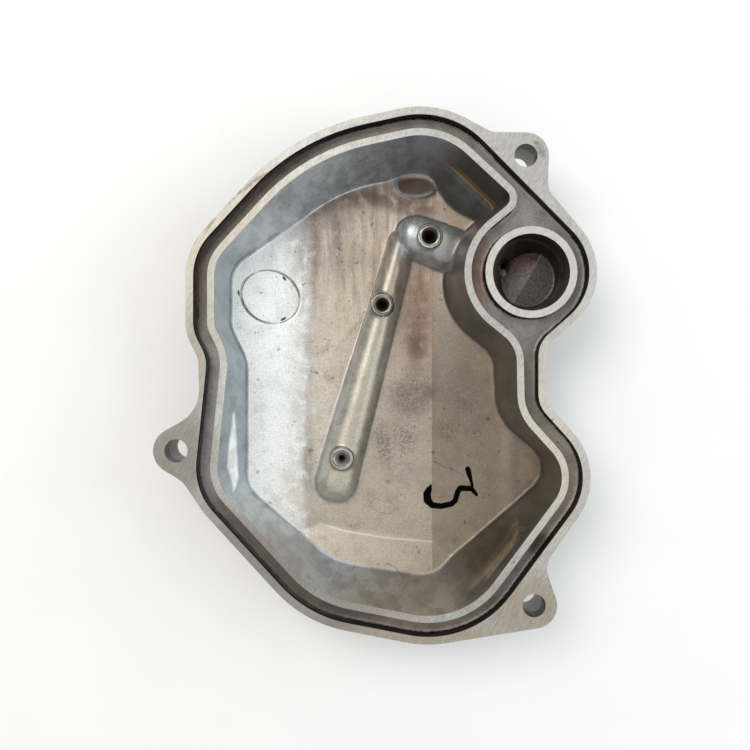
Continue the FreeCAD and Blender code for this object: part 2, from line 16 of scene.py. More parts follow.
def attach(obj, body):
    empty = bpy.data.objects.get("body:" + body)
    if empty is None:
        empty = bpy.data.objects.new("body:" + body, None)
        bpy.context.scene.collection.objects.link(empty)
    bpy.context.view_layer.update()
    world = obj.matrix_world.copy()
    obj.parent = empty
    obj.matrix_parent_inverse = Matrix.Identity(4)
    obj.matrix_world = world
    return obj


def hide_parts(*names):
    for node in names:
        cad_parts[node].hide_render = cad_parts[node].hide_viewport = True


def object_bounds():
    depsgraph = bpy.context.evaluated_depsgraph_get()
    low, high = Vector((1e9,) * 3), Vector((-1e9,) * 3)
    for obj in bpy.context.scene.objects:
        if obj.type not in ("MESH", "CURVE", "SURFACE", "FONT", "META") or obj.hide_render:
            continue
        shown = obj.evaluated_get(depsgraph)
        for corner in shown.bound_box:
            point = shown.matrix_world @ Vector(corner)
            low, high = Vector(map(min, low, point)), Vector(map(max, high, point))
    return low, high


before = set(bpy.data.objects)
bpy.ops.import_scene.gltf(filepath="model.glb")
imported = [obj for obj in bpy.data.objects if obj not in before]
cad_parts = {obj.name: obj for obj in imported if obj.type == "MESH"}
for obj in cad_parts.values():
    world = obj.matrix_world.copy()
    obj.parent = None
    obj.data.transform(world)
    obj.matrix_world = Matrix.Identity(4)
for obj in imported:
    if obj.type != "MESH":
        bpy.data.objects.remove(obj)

MM = 0.001
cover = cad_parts["valve_cover"]
cad_box = [list(corner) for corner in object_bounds()]
milled_height = cad_box[1][2]
print("packed box in mm:", [round((b - a) / MM, 2) for a, b in zip(*cad_box)])

# %% [markdown]
# ## The camera
# The photograph is taken from straight above, close enough that the walls lean outwards in the picture.
# The lens sees 225 mm across at the milled face, 225 mm away, which is 0.3 mm for each of the 750 pixels.
# The helper turns a pixel into a place on the part, for marks that are given in the picture's pixels.

# %% Set the camera and the picture's scale
EYE = 225 * MM
PIXEL = 0.3 * MM
MIDDLE_PIXEL = 375.5
FLOOR = 3.2 * MM

sight = bpy.data.cameras.new("sight")
sight.sensor_width = 36
sight.lens = 36
camera = bpy.data.objects.new("camera", sight)
camera.location = (-0.15 * MM, 0.15 * MM, milled_height + EYE)
bpy.context.scene.collection.objects.link(camera)
bpy.context.scene.camera = camera


def seen_at(across, down, height=FLOOR):
    """The place, in metres, that a pixel shows on a level surface at that height."""
    scale = PIXEL * (EYE + milled_height - height) / EYE
    return (across - MIDDLE_PIXEL) * scale, (MIDDLE_PIXEL - down) * scale, height


def seen_from(places):
    """The pixels, across and down, at which the camera sees each place."""
    scale = PIXEL * (EYE + milled_height - places[:, 2]) / EYE
    return MIDDLE_PIXEL + places[:, 0] / scale, MIDDLE_PIXEL - places[:, 1] / scale


print("left ear hole:", [round(v / MM, 2) for v in seen_at(176, 450.9, milled_height)], "mm")

# %% [markdown]
# ## Floor and light
# A pale sheet under the part takes its shadow. One large lamp from the upper left gives that shadow,
# and a wide cool one at the right, like a window, brightens every wall that faces it.

# %% Lay the floor and hang the lamps
bpy.context.scene.view_settings.view_transform = "Standard"
room = bpy.data.worlds.new("room")
bpy.context.scene.world = room
room.use_nodes = True
room.node_tree.nodes["Background"].inputs["Color"].default_value = (1.0, 0.995, 0.985, 1)
room.node_tree.nodes["Background"].inputs["Strength"].default_value = 0.72

bpy.ops.object.select_all(action="DESELECT")
bpy.ops.mesh.primitive_plane_add(size=3)
floor = bpy.context.object
floor.name = "floor"


def hang_lamp(name, place, aim, size, energy, colour):
    """A square soft lamp at a place, turned towards another."""
    lamp = bpy.data.lights.new(name, "AREA")
    lamp.size = size
    lamp.energy = energy
    lamp.color = colour
    holder = bpy.data.objects.new(name, lamp)
    holder.location = place
    holder.rotation_euler = (Vector(aim) - Vector(place)).to_track_quat("-Z", "Y").to_euler()
    bpy.context.scene.collection.objects.link(holder)


hang_lamp("ceiling_lamp", (-0.32, 0.34, 0.75), (0, 0, 0), 0.45, 3.2, (1.0, 0.98, 0.95))
hang_lamp("window", (0.80, 0.12, 0.50), (0, 0, 0), 0.70, 3.2, (0.88, 0.95, 1.0))

# %% [markdown]
# ## The casting
# A casting has no sharp inner corners, because metal has to flow and the tool has to let go.
# Bevelling hundreds of edges by hand would be slow and would fail where they meet.
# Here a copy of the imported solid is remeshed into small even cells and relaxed, which rounds every corner.
# Before that the face to be milled is raised, as a foundry leaves an allowance, and after it cut back flat.

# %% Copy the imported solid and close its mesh
bpy.ops.object.select_all(action="DESELECT")
casting = cover.copy()
casting.data = cover.data.copy()
casting.name = "casting"
casting.parent = None
for label in list(casting.keys()):
    del casting[label]
bpy.context.scene.collection.objects.link(casting)
bpy.context.view_layer.objects.active = casting
casting.select_set(True)
bpy.ops.object.mode_set(mode="EDIT")
bpy.ops.mesh.select_mode(type="FACE")
bpy.ops.mesh.select_all(action="SELECT")
bpy.ops.mesh.remove_doubles(threshold=1e-6)
bpy.ops.mesh.select_all(action="DESELECT")
bpy.ops.object.mode_set(mode="OBJECT")
print("closed mesh:", len(casting.data.vertices), "corners,", len(casting.data.polygons), "faces")


# %% [markdown]
# Faces are chosen by where they lie and which way they point, so the choice survives a change of size.
# Here they are the level faces at the very top, which the mill will cut.

# %% Find faces by place and direction
def face_table(mesh):
    """The middle and the direction of every face, one row each."""
    middles = np.empty(len(mesh.polygons) * 3)
    mesh.polygons.foreach_get("center", middles)
    directions = np.empty(len(mesh.polygons) * 3)
    mesh.polygons.foreach_get("normal", directions)
    return middles.reshape(-1, 3), directions.reshape(-1, 3)


def select_faces(mesh, chosen):
    """Selects the chosen faces and nothing else."""
    mesh.vertices.foreach_set("select", np.zeros(len(mesh.vertices), bool))
    mesh.edges.foreach_set("select", np.zeros(len(mesh.edges), bool))
    mesh.polygons.foreach_set("select", chosen)


middles, directions = face_table(casting.data)
on_top = (directions[:, 2] > 0.99) & (middles[:, 2] > milled_height - 0.01 * MM)
select_faces(casting.data, on_top)
print("faces to be milled:", int(on_top.sum()))

# %% [markdown]
# A foundry leaves about a millimetre more metal on a face that will be milled. It keeps the soft corners
# of the raw casting above the cut, so that the land's edges come out crisp.

# %% Raise the machining allowance
ALLOWANCE = 1.2 * MM
bpy.ops.object.mode_set(mode="EDIT")
bpy.ops.mesh.extrude_region_move(TRANSFORM_OT_translate={"value": (0, 0, ALLOWANCE)})
bpy.ops.object.mode_set(mode="OBJECT")
print("raised by", ALLOWANCE / MM, "mm")

# %% [markdown]
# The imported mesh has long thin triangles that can't be relaxed or sculpted. Voxels turn it into an even
# skin. At 0.4 mm the seal groove and the nozzles keep their shape.

# %% Turn the solid into small even cells
CELL = 0.4 * MM
cells = casting.modifiers.new("cells", "REMESH")
cells.mode = "VOXEL"
cells.voxel_size = CELL
cells.use_smooth_shade = True
bpy.ops.object.modifier_apply(modifier="cells")
print("cells:", len(casting.data.polygons))

# %% [markdown]
# ## Shapes of the casting pattern
# Some forms inside the pan are freer than a solid of planes and rounds: the oil rail and its arm are
# barrels, the shelf's front bulges, and a soft ridge runs up the lower right wall.
# They are made by moving corners of the cells, chosen by their place, as a pattern maker files or fills.

# %% Tables of corners and where things stand
# x, y and top, or x, y and radius, in mm
NOZZLES = [(-10.92, -27.26, 9.9), (1.98, 23.22, 9.9), (17.36, 44.50, 12.9)]
BORE = (46.80, 31.05, 11.6)
EAR_HOLES = [(-59.85, -22.60, 3.5), (45.15, 66.05, 3.5), (47.60, -69.05, 3.5)]


def corner_table(mesh, kind="co"):
    """The place or the direction of every corner, one row each."""
    rows = np.empty(len(mesh.vertices) * 3, np.float32)
    mesh.vertices.foreach_get(kind, rows)
    return rows.reshape(-1, 3)


def put_back(mesh, places):
    """Moves the corners to new places."""
    mesh.vertices.foreach_set("co", places.astype(np.float32).ravel())
    mesh.update()


def distance_to(places, x, y):
    """How far each place is from an upright axis, in metres."""
    return np.hypot(places[:, 0] - x * MM, places[:, 1] - y * MM)


def beside(places, start, end):
    """How far along a line each flat place lies, from 0 to 1, and how far from the line."""
    start, line = np.array(start), np.subtract(end, start)
    along = np.clip((places - start) @ line / (line @ line), 0, 1)
    return along, np.hypot(*(places - start - along[:, None] * line).T)


def fade(distance, near, far):
    """Falls softly from 1 at the near distance to 0 at the far one."""
    share = np.clip((far - distance) / (far - near), 0, 1)
    return share * share * (3 - 2 * share)


packed_places = [tuple(corner.co) for corner in cover.data.vertices]
packed_faces = [tuple(face.vertices) for face in cover.data.polygons]
solid_tree = BVHTree.FromPolygons(packed_places, packed_faces)
places = corner_table(casting.data)
print("corners:", len(places))

# %% [markdown]
# The rail carries oil along the floor to the nozzles, and the arm joins it to the boss about the bore.
# Both are barrels that were rolled up from the floor: the rail is round and narrows upwards,
# the arm is flatter. Each corner in reach takes the height of the barrel's section over it.
# Corners with metal above them belong to the drilled passages and stay.

# %% Roll the oil rail and its arm into barrels
# name: start, end, half width at each, height, fullness of the section
BARRELS = {
    "rail": ((-13.0, -35.4), (8.6, 44.6), 6.8, 4.3, 6.0, 2.0),
    "arm": ((13.4, 45.9), (36.0, 37.9), 6.8, 7.6, 9.0, 2.5),
}
SKIRT = 2.6
OLD_END = (7.8, 46.0, 4.3)
NOZZLE_WALL = 3.95
LOWEST, HIGHEST = 2.7, 12.6
RIGHT_FOLD = 18.9
RIGHT_RISE = math.tan(math.radians(7.8))
BOSS_RADIUS = 19.5
BOSS_DRAFT = 3.9
PAN_DEPTH = 26.0

flat = places[:, :2] / MM
height = places[:, 2] / MM
barrel = np.zeros(len(places))
in_reach = np.zeros(len(places), bool)
for start, end, wide_start, wide_end, rise, fullness in BARRELS.values():
    along, aside = beside(flat, start, end)
    wide = wide_start + (wide_end - wide_start) * along
    section = np.clip(1 - (aside / wide) ** fullness, 0, 1) ** (1 / fullness)
    barrel = np.maximum(barrel, rise * section)
    in_reach |= aside < wide + SKIRT
in_reach |= distance_to(places, *OLD_END[:2]) < (OLD_END[2] + SKIRT) * MM
in_reach &= (height > LOWEST) & (height < HIGHEST)
for x, y, _ in NOZZLES:
    in_reach &= distance_to(places, x, y) > NOZZLE_WALL * MM
boss_edge = BOSS_RADIUS + BOSS_DRAFT * (1 - (height - FLOOR / MM) / PAN_DEPTH)
join = np.clip((distance_to(places, *BORE[:2]) / MM - boss_edge - 0.2) / 2.6, 0, 1)
in_reach &= join > 0
UP = Vector((0, 0, 1))
outward = corner_table(casting.data, "normal")
for i in np.nonzero(in_reach)[0]:
    if solid_tree.ray_cast(Vector(places[i] + outward[i] * 0.6 * MM), UP)[0] is not None:
        in_reach[i] = False
bed = np.clip(flat[:, 0] - RIGHT_FOLD, 0, None) * RIGHT_RISE
rolled = FLOOR + np.maximum(barrel, bed) * MM
places[:, 2] += np.where(in_reach, join * (rolled - places[:, 2]), 0)
put_back(casting.data, places)
print("corners set to a barrel:", int(in_reach.sum()))

# %% [markdown]
# The shelf's front swells towards the pan, as a core does that was filed by hand, and the oval pad runs
# into the foot of the upper wall. Both moves are level and fade out, so no edge tears.

# %% Fill out the shelf's front and move the oval pad to the wall
SHELF_FRONT = (436, 184), (484, 232)
SWELL = 1.3 * MM
PAD_CENTRE = (14.1, 62.4)
PAD_SHIFT = (-0.5 * MM, 0.9 * MM)
seen = np.column_stack(seen_from(places))
shelf_along, shelf_aside = beside(seen, *SHELF_FRONT)
bulge = fade(abs(shelf_along - 0.45), 0.0, 0.5) * fade(shelf_aside, 4, 24) * fade(height, 4, 15)
bulge *= (height > LOWEST) * fade(height, 14, 16)
places[:, :2] -= SWELL * bulge[:, None]
pad_reach = np.hypot((flat[:, 0] - PAD_CENTRE[0]) / 1.5, flat[:, 1] - PAD_CENTRE[1])
pad = fade(pad_reach, 4.5, 8.5) * (height > LOWEST) * fade(height, 5, 10)
places[:, :2] += np.outer(pad, PAD_SHIFT)
put_back(casting.data, places)
print("corners moved:", int(((bulge > 0.01) | (pad > 0.01)).sum()))

# %% [markdown]
# Below the counterbore the core left two planes that meet at a slanting fold: a level ledge at the right
# and a slope that falls away at the left. The corners under the slope are lifted up to it.

# %% Fill the well's left side up to a slope
FOLD_FOOT = np.array([48.1, 30.05])
FOLD_SIDE = np.array([-0.870, 0.494])
LEDGE = 16.7
WELL_SLOPE = 0.36
left_of_fold = (places[:, :2] / MM - FOLD_FOOT) @ FOLD_SIDE
filled = LEDGE - WELL_SLOPE * np.clip(left_of_fold, 0, None)
under_slope = (distance_to(places, *BORE[:2]) < 10.6 * MM) & (left_of_fold > -0.3)
under_slope &= (places[:, 2] > 11.8 * MM) & (places[:, 2] < filled * MM)
places[under_slope, 2] = filled[under_slope] * MM
put_back(casting.data, places)
print("corners in the slope:", int(under_slope.sum()))

# %% [markdown]
# Two directions of draft meet on the lower right wall in a soft ridge that catches the light.
# Its line is read in the picture, and the wall is pushed out along its own directions beside it.

# %% Raise the soft ridge on the lower right wall
RIDGE = [(533, 497), (521, 525.5), (509, 545), (485, 575), (458, 596)]
RIDGE_RISE = 1.0 * MM
seen = np.column_stack(seen_from(places))
off = np.min([beside(seen, a, b)[1] for a, b in zip(RIDGE, RIDGE[1:])], axis=0)
outward = corner_table(casting.data, "normal")
inside = (height > 3.4) & (height < 26) & (outward[:, 2] > 0.2)
ridge = fade(off, 0, 9) * inside
places += outward * (RIDGE_RISE * ridge)[:, None]
put_back(casting.data, places)
print("corners in the ridge:", int((ridge > 0.01).sum()))

# %% [markdown]
# An ejector pin has pressed a shallow round into the left facet, with a thin groove about it.
# The cells are too coarse for a groove half a millimetre wide, so those near it are divided first.

# %% Press the ejector ring into the left facet
RING_CENTRE = seen_at(270.8, 296.9, 4.6 * MM)
RING_LONG, RING_SHORT, RING_TURN = 9.81, 8.62, math.radians(152)
RING_MEAN, GROOVE_HALF, GROOVE_DEEP = 9.2, 0.28, 0.34
FACET_TOP = 9 * MM


def ring_radius(points):
    """How far out each place lies, in half sizes of the ring, and on which side of it."""
    x, y = ((points[:, i] - RING_CENTRE[i]) / MM for i in (0, 1))
    along = x * math.cos(RING_TURN) + y * math.sin(RING_TURN)
    aside = y * math.cos(RING_TURN) - x * math.sin(RING_TURN)
    return np.hypot(along / RING_LONG, aside / RING_SHORT), np.arctan2(y, x)


middles, directions = face_table(casting.data)
radius, _ = ring_radius(middles)
near_ring = (abs(radius - 1) < 0.10) & (directions[:, 2] > 0.7)
near_ring &= (middles[:, 2] > LOWEST * MM) & (middles[:, 2] < FACET_TOP)
select_faces(casting.data, near_ring)
bpy.ops.object.mode_set(mode="EDIT")
bpy.ops.mesh.subdivide(number_cuts=3)
bpy.ops.mesh.select_all(action="DESELECT")
bpy.ops.object.mode_set(mode="OBJECT")
places = corner_table(casting.data)
radius, side = ring_radius(places)
groove_line = np.exp(-((radius - 1) * RING_MEAN / GROOVE_HALF) ** 2)
fading = 0.7 + 0.3 * np.sin(side * 2 + 0.6)
on_floor = (places[:, 2] > LOWEST * MM) & (places[:, 2] < FACET_TOP)
places[:, 2] -= GROOVE_DEEP * MM * groove_line * fading * on_floor
put_back(casting.data, places)
print("faces divided for the ring:", int(near_ring.sum()))

# %% [markdown]
# The relaxing is strong in the cast depth and weak near everything that a tool has cut:
# the lands and the seal groove at the top, the rings of the oil nozzles, the bore and the screw holes.

# %% Relax the cast corners
CUT_DEPTH = 4.6 * MM
STEPS = 20
places = corner_table(casting.data)
softness = np.clip((milled_height - CUT_DEPTH - places[:, 2]) / (3 * MM), 0, 1)
for x, y, top in NOZZLES:
    near = (distance_to(places, x, y) < 4.3 * MM) & (places[:, 2] > (top - 1.5) * MM)
    softness[near] *= 0.25
for x, y, radius in [BORE, *EAR_HOLES]:
    near = distance_to(places, x, y) < (radius + 0.6) * MM
    softness[near] = np.minimum(softness[near], 0.3)
radius, _ = ring_radius(places)
softness[(abs(radius - 1) < 0.12) & (places[:, 2] < FACET_TOP)] *= 0.2
levels = np.round(softness * STEPS).astype(int)
cast_group = casting.vertex_groups.new(name="cast")
for level in range(1, STEPS + 1):
    corners = np.nonzero(levels == level)[0]
    if len(corners):
        cast_group.add(corners.tolist(), level / STEPS, "REPLACE")
flow = casting.modifiers.new("flow", "SMOOTH")
flow.iterations = 10
flow.vertex_group = "cast"
bpy.ops.object.modifier_apply(modifier="flow")
calm = casting.modifiers.new("calm", "SMOOTH")
calm.iterations = 3
bpy.ops.object.modifier_apply(modifier="calm")
print("corners relaxed fully:", int((levels == STEPS).sum()))

# %% [markdown]
# Flat walls don't need cells of 0.4 mm. Thinning keeps the small ones where the form turns.

# %% Thin the mesh
FACES_KEPT = 160000
thin = casting.modifiers.new("thin", "DECIMATE")
thin.ratio = FACES_KEPT / (2 * len(casting.data.polygons))
bpy.ops.object.modifier_apply(modifier="thin")
print("faces left:", len(casting.data.polygons))

# %% [markdown]
# Now the cutter takes the allowance off again, and the cut is closed with flat faces.

# %% Mill the face flat
bpy.ops.object.mode_set(mode="EDIT")
bpy.ops.mesh.select_all(action="SELECT")
cut = {"plane_co": (0, 0, milled_height), "plane_no": (0, 0, 1), "threshold": 1e-6}
bpy.ops.mesh.bisect(**cut, use_fill=True, clear_outer=True)
bpy.ops.mesh.select_all(action="DESELECT")
bpy.ops.object.mode_set(mode="OBJECT")
print("faces after milling:", len(casting.data.polygons))

# %% [markdown]
# The finishes need to know where the surface lies level, where it stands steep and where a barrel is.
# The mesh knows that best, so each corner keeps it as a value of its own that a finish can read.

# %% Note on each corner how it lies
def note_down(mesh, name, values):
    """Keeps one value at every corner under a name."""
    kept = mesh.attributes.new(name, "FLOAT", "POINT")
    kept.data.foreach_set("value", values.astype(np.float32))


places = corner_table(casting.data)
flat = places[:, :2] / MM
outward = corner_table(casting.data, "normal")
on_barrel = np.zeros(len(places))
for start, end, wide_start, wide_end, _, _ in BARRELS.values():
    along, aside = beside(flat, start, end)
    on_barrel = np.maximum(on_barrel, fade(aside - wide_start - (wide_end - wide_start) * along, 0.0, 0.45))
on_barrel *= (places[:, 2] < 13.5 * MM) * (places[:, 2] > LOWEST * MM)
on_barrel *= np.clip((distance_to(places, *BORE[:2]) / MM - BOSS_RADIUS - 2.0) / 1.5, 0, 1)
note_down(casting.data, "facing_up", outward[:, 2])
note_down(casting.data, "on_barrel", on_barrel)
print("corners on a barrel:", int((on_barrel > 0.5).sum()))

# %% [markdown]
# ## Finishes
# Each finish is one material, built up in coats on the part's own coordinates.
# First the bare metal gets its colour, then come grain, streaks, stains and painted light and shade, each
# through a soft mask.
# A class keeps the shading steps of one finish together, so that a coat is one short line.


# %% The steps that every finish uses
class Finish:
    """One material, painted coat by coat."""

    def __init__(self, name, colour, metallic, roughness):
        self.material = bpy.data.materials.new(name)
        self.material.use_nodes = True
        self.tree = self.material.node_tree
        self.surface = self.tree.nodes["Principled BSDF"]
        self.surface.inputs["Metallic"].default_value = metallic
        self.surface.inputs["Roughness"].default_value = roughness
        self.place = self.step("TexCoord").outputs["Object"]
        parts = self.step("SeparateXYZ", {0: self.place})
        self.x, self.y, self.z = parts.outputs
        self.colour = self.step("RGB").outputs[0]
        self.colour.default_value = (*colour, 1)
        self.relief = None

    def step(self, kind, inputs=None, **settings):
        """Adds a shading step; an input is an earlier result or a plain value."""
        node = self.tree.nodes.new("ShaderNode" + kind)
        for name, value in settings.items():
            setattr(node, name, value)
        for slot, value in (inputs or {}).items():
            if isinstance(value, bpy.types.NodeSocket):
                self.tree.links.new(value, node.inputs[slot])
            else:
                node.inputs[slot].default_value = value
        return node

    def noted(self, name):
        """The value that the corners keep under a name."""
        return self.step("Attribute", attribute_name=name).outputs["Fac"]

    def between(self, value, low, high):
        """Rises softly from 0 at low to 1 at high; falls where low is above high."""
        ends = {"Value": value, "From Min": low, "From Max": high}
        return self.step("MapRange", ends, interpolation_type="SMOOTHSTEP").outputs[0]

    def times(self, first, second):
        """Two masks laid over each other."""
        return self.step("Math", {0: first, 1: second}, operation="MULTIPLY").outputs[0]

    def laid(self, centre, half=(1, 1), turn=0.0):
        """Two coordinates, centred on a place, turned and measured in half sizes."""
        found = []
        for quarter, size in enumerate(half):
            direction = math.radians(turn + 90 * quarter)
            by_x = math.cos(direction) / size
            by_y = math.sin(direction) / size
            start = -centre[0] * by_x - centre[1] * by_y
            inner = self.step("Math", {0: self.y, 1: by_y, 2: start}, operation="MULTIPLY_ADD")
            outer = {0: self.x, 1: by_x, 2: inner.outputs[0]}
            found.append(self.step("Math", outer, operation="MULTIPLY_ADD").outputs[0])
        return found

    def length(self, first, second):
        """How long a flat step of two parts is."""
        joined = self.step("CombineXYZ", {0: first, 1: second}).outputs[0]
        return self.step("VectorMath", {0: joined}, operation="LENGTH").outputs["Value"]

    def cloud(self, grain, low=0.4, high=0.6, detail=3.0, stretch=(1, 1, 1), turn=0.0):
        """A ragged mask of patches about that many millimetres across."""
        place = self.place
        if stretch != (1, 1, 1):
            turned = {0: place, "Scale": stretch, "Rotation": (0, 0, math.radians(turn))}
            place = self.step("Mapping", turned, vector_type="TEXTURE").outputs[0]
        inputs = {"Vector": place, "Scale": 1 / (grain * MM), "Detail": detail}
        return self.between(self.step("TexNoise", inputs).outputs[0], low, high)

    def oval(self, across, down, half_x, half_y, turn=0.0, edge=0.5, height=FLOOR):
        """A soft oval, placed and sized in the picture's pixels."""
        size = PIXEL * (EYE + milled_height - height) / EYE
        out, along = self.laid(seen_at(across, down, height), (half_x * size, half_y * size), turn)
        return self.between(self.length(out, along), 1 + edge, 1 - edge)

    def hoop(self, across, down, half_x, half_y, width, turn=0.0, height=FLOOR):
        """A thin ring, placed and sized in the picture's pixels."""
        size = PIXEL * (EYE + milled_height - height) / EYE
        out, along = self.laid(seen_at(across, down, height), (half_x * size, half_y * size), turn)
        off = self.step("Math", {0: self.length(out, along), 1: 1.0}, operation="SUBTRACT").outputs[0]
        off = self.step("Math", {0: off}, operation="ABSOLUTE").outputs[0]
        return self.between(off, width / half_x, width / half_x / 3)

    def coat(self, colour, mask, strength=1.0):
        """Lays a colour over what is there, as thick as the mask."""
        if strength < 1:
            mask = self.times(mask, strength)
        inputs = {0: mask, 6: self.colour, 7: (*colour, 1)}
        self.colour = self.step("Mix", inputs, data_type="RGBA").outputs[2]

    def shade(self, factor, mask):
        """Darkens or lightens what is there by a factor, as far as the mask reaches."""
        inputs = {0: mask, 6: self.colour, 7: (factor, factor, factor, 1)}
        blend = {"data_type": "RGBA", "blend_type": "MULTIPLY"}
        self.colour = self.step("Mix", inputs, **blend).outputs[2]

    def emboss(self, mask, height):
        """Raises the surface by a height in metres where the mask is white."""
        raised = self.times(mask, height)
        if self.relief is not None:
            raised = self.step("Math", {0: self.relief, 1: raised}).outputs[0]
        self.relief = raised

    def finish(self):
        """Joins the coats and the relief to the surface."""
        self.tree.links.new(self.colour, self.surface.inputs["Base Color"])
        if self.relief is not None:
            bump = self.step("Bump", {"Height": self.relief, "Distance": 1.0})
            self.tree.links.new(bump.outputs[0], self.surface.inputs["Normal"])
        return self.material


print("a finish has", len([m for m in dir(Finish) if not m.startswith("_")]), "kinds of step")

# %% [markdown]
# ### The cast inside
# Inside the pan the metal has the dull skin that die casting leaves, with oil baked onto it unevenly.
# Light and shade are painted into it as well. The left facet is painted almost white, a painted reflection
# of bright light. The middle is warm brown-beige and the right is darker, which is oil tone with painted
# reflection.
# The walls are painted cool blue-grey at the left, where they face the window, and dark brown at the right,
# where they turn away from it. This is painted light and shade over the oil's tone.
# The values kept on the corners tell floor, wall and barrel apart, so one material can hold them all.
# Coats with stretched grain come late, because the renderer holds every earlier mask until it has them.

# %% Start the cast skin: floor zones and wall zones
cast = Finish("cast_skin_oil_and_painted_light", (0.50, 0.55, 0.60), 0.55, 0.38)
facing = cast.noted("facing_up")
barrel_here = cast.noted("on_barrel")
off_barrel = cast.between(barrel_here, 1.0, 0.0)
level = cast.times(off_barrel, cast.between(facing, 0.88, 0.965))
steep = cast.between(facing, 0.965, 0.88)
fold_left = seen_at(312, 375)[0]
fold_right = seen_at(432, 375)[0]

# name: across, down, half width, half height, turn, edge softness, colour
# The wall tints are painted light and shade as well as the oil's tone
WALL_LIGHT_AND_TINTS = {
    "right side, shaded and browned": (520, 400, 130, 330, 0, 0.45, (0.20, 0.175, 0.145)),
    "left": (232, 370, 34, 190, 0, 0.5, (0.30, 0.345, 0.375)),
    "top side": (410, 150, 95, 28, 0, 0.5, (0.36, 0.375, 0.41)),
    "upper left": (290, 200, 74, 28, 38, 0.5, (0.66, 0.72, 0.78)),
    "lower left": (262, 535, 70, 34, -42, 0.5, (0.50, 0.515, 0.505)),
    "bottom": (380, 592, 90, 22, 0, 0.6, (0.40, 0.36, 0.30)),
    "lower right": (505, 560, 60, 40, 52, 0.5, (0.080, 0.062, 0.043)),
    "right": (548, 470, 22, 60, 0, 0.5, (0.165, 0.138, 0.10)),
    "waist": (515, 370, 16, 50, 0, 0.5, (0.125, 0.105, 0.08)),
    "boss": (462, 300, 26, 70, 0, 0.5, (0.16, 0.138, 0.115)),
    "shelf": (462, 195, 34, 22, -45, 0.5, (0.15, 0.15, 0.15)),
    "behind the shelf": (487, 178, 40, 9, -45, 0.4, (0.13, 0.12, 0.115)),
}
for across, down, half_x, half_y, turn, edge, tint in WALL_LIGHT_AND_TINTS.values():
    cast.coat(tint, cast.oval(across, down, half_x, half_y, turn, edge))
# The barrels carry painted light and shade: paler on their left sides, darker low on the rail's right side
# and where the arm joins the boss
BARREL_LIGHT_AND_TINTS = {
    "rail": (360, 370, 60, 160, -17, 0.3, (0.52, 0.48, 0.395)),
    "rail top": (392, 262, 16, 40, -15, 0.7, (0.44, 0.39, 0.31)),
    "rail, lit left side": (345, 385, 4, 110, -15, 0.8, (0.60, 0.61, 0.58)),
    "rail, shaded right side low": (374, 425, 6, 66, -15, 0.8, (0.22, 0.20, 0.14)),
    "arm": (436, 245, 42, 28, -20, 0.25, (0.47, 0.485, 0.49)),
    "arm's joint, shaded": (457, 247, 9, 15, 0, 0.5, (0.25, 0.25, 0.25)),
    "arm's foot on the boss, shaded": (458, 256, 14, 18, -20, 0.8, (0.24, 0.235, 0.225)),
}
for across, down, half_x, half_y, turn, edge, tint in BARREL_LIGHT_AND_TINTS.values():
    cast.coat(tint, cast.times(barrel_here, cast.oval(across, down, half_x, half_y, turn, edge, 9 * MM)))
wander = cast.step("TexNoise", {"Vector": cast.place, "Scale": 1 / (7 * MM), "Detail": 5.0})
wander = {0: wander.outputs[0], 1: 9 * MM, 2: -4.5 * MM}
wander = cast.step("Math", wander, operation="MULTIPLY_ADD").outputs[0]
across_fold = cast.step("Math", {0: cast.x, 1: wander}).outputs[0]
painted_reflection_side = cast.between(across_fold, fold_left + 1.5 * MM, fold_left - 3.5 * MM)
middle_zone = cast.between(across_fold, fold_left - 3.5 * MM, fold_left + 1.5 * MM)
# Painted reflection: the left facet is painted near white
cast.coat((0.98, 1.0, 0.99), cast.times(level, painted_reflection_side))
low_level = cast.times(level, cast.between(cast.z, 7.0 * MM, 6.0 * MM))
cast.coat((0.46, 0.39, 0.32), cast.times(low_level, middle_zone))
right_of_fold = cast.between(cast.x, fold_right - 0.3 * MM, fold_right + 0.3 * MM)
cast.coat((0.255, 0.20, 0.145), cast.times(low_level, right_of_fold))
print("wall zones:", len(WALL_LIGHT_AND_TINTS))
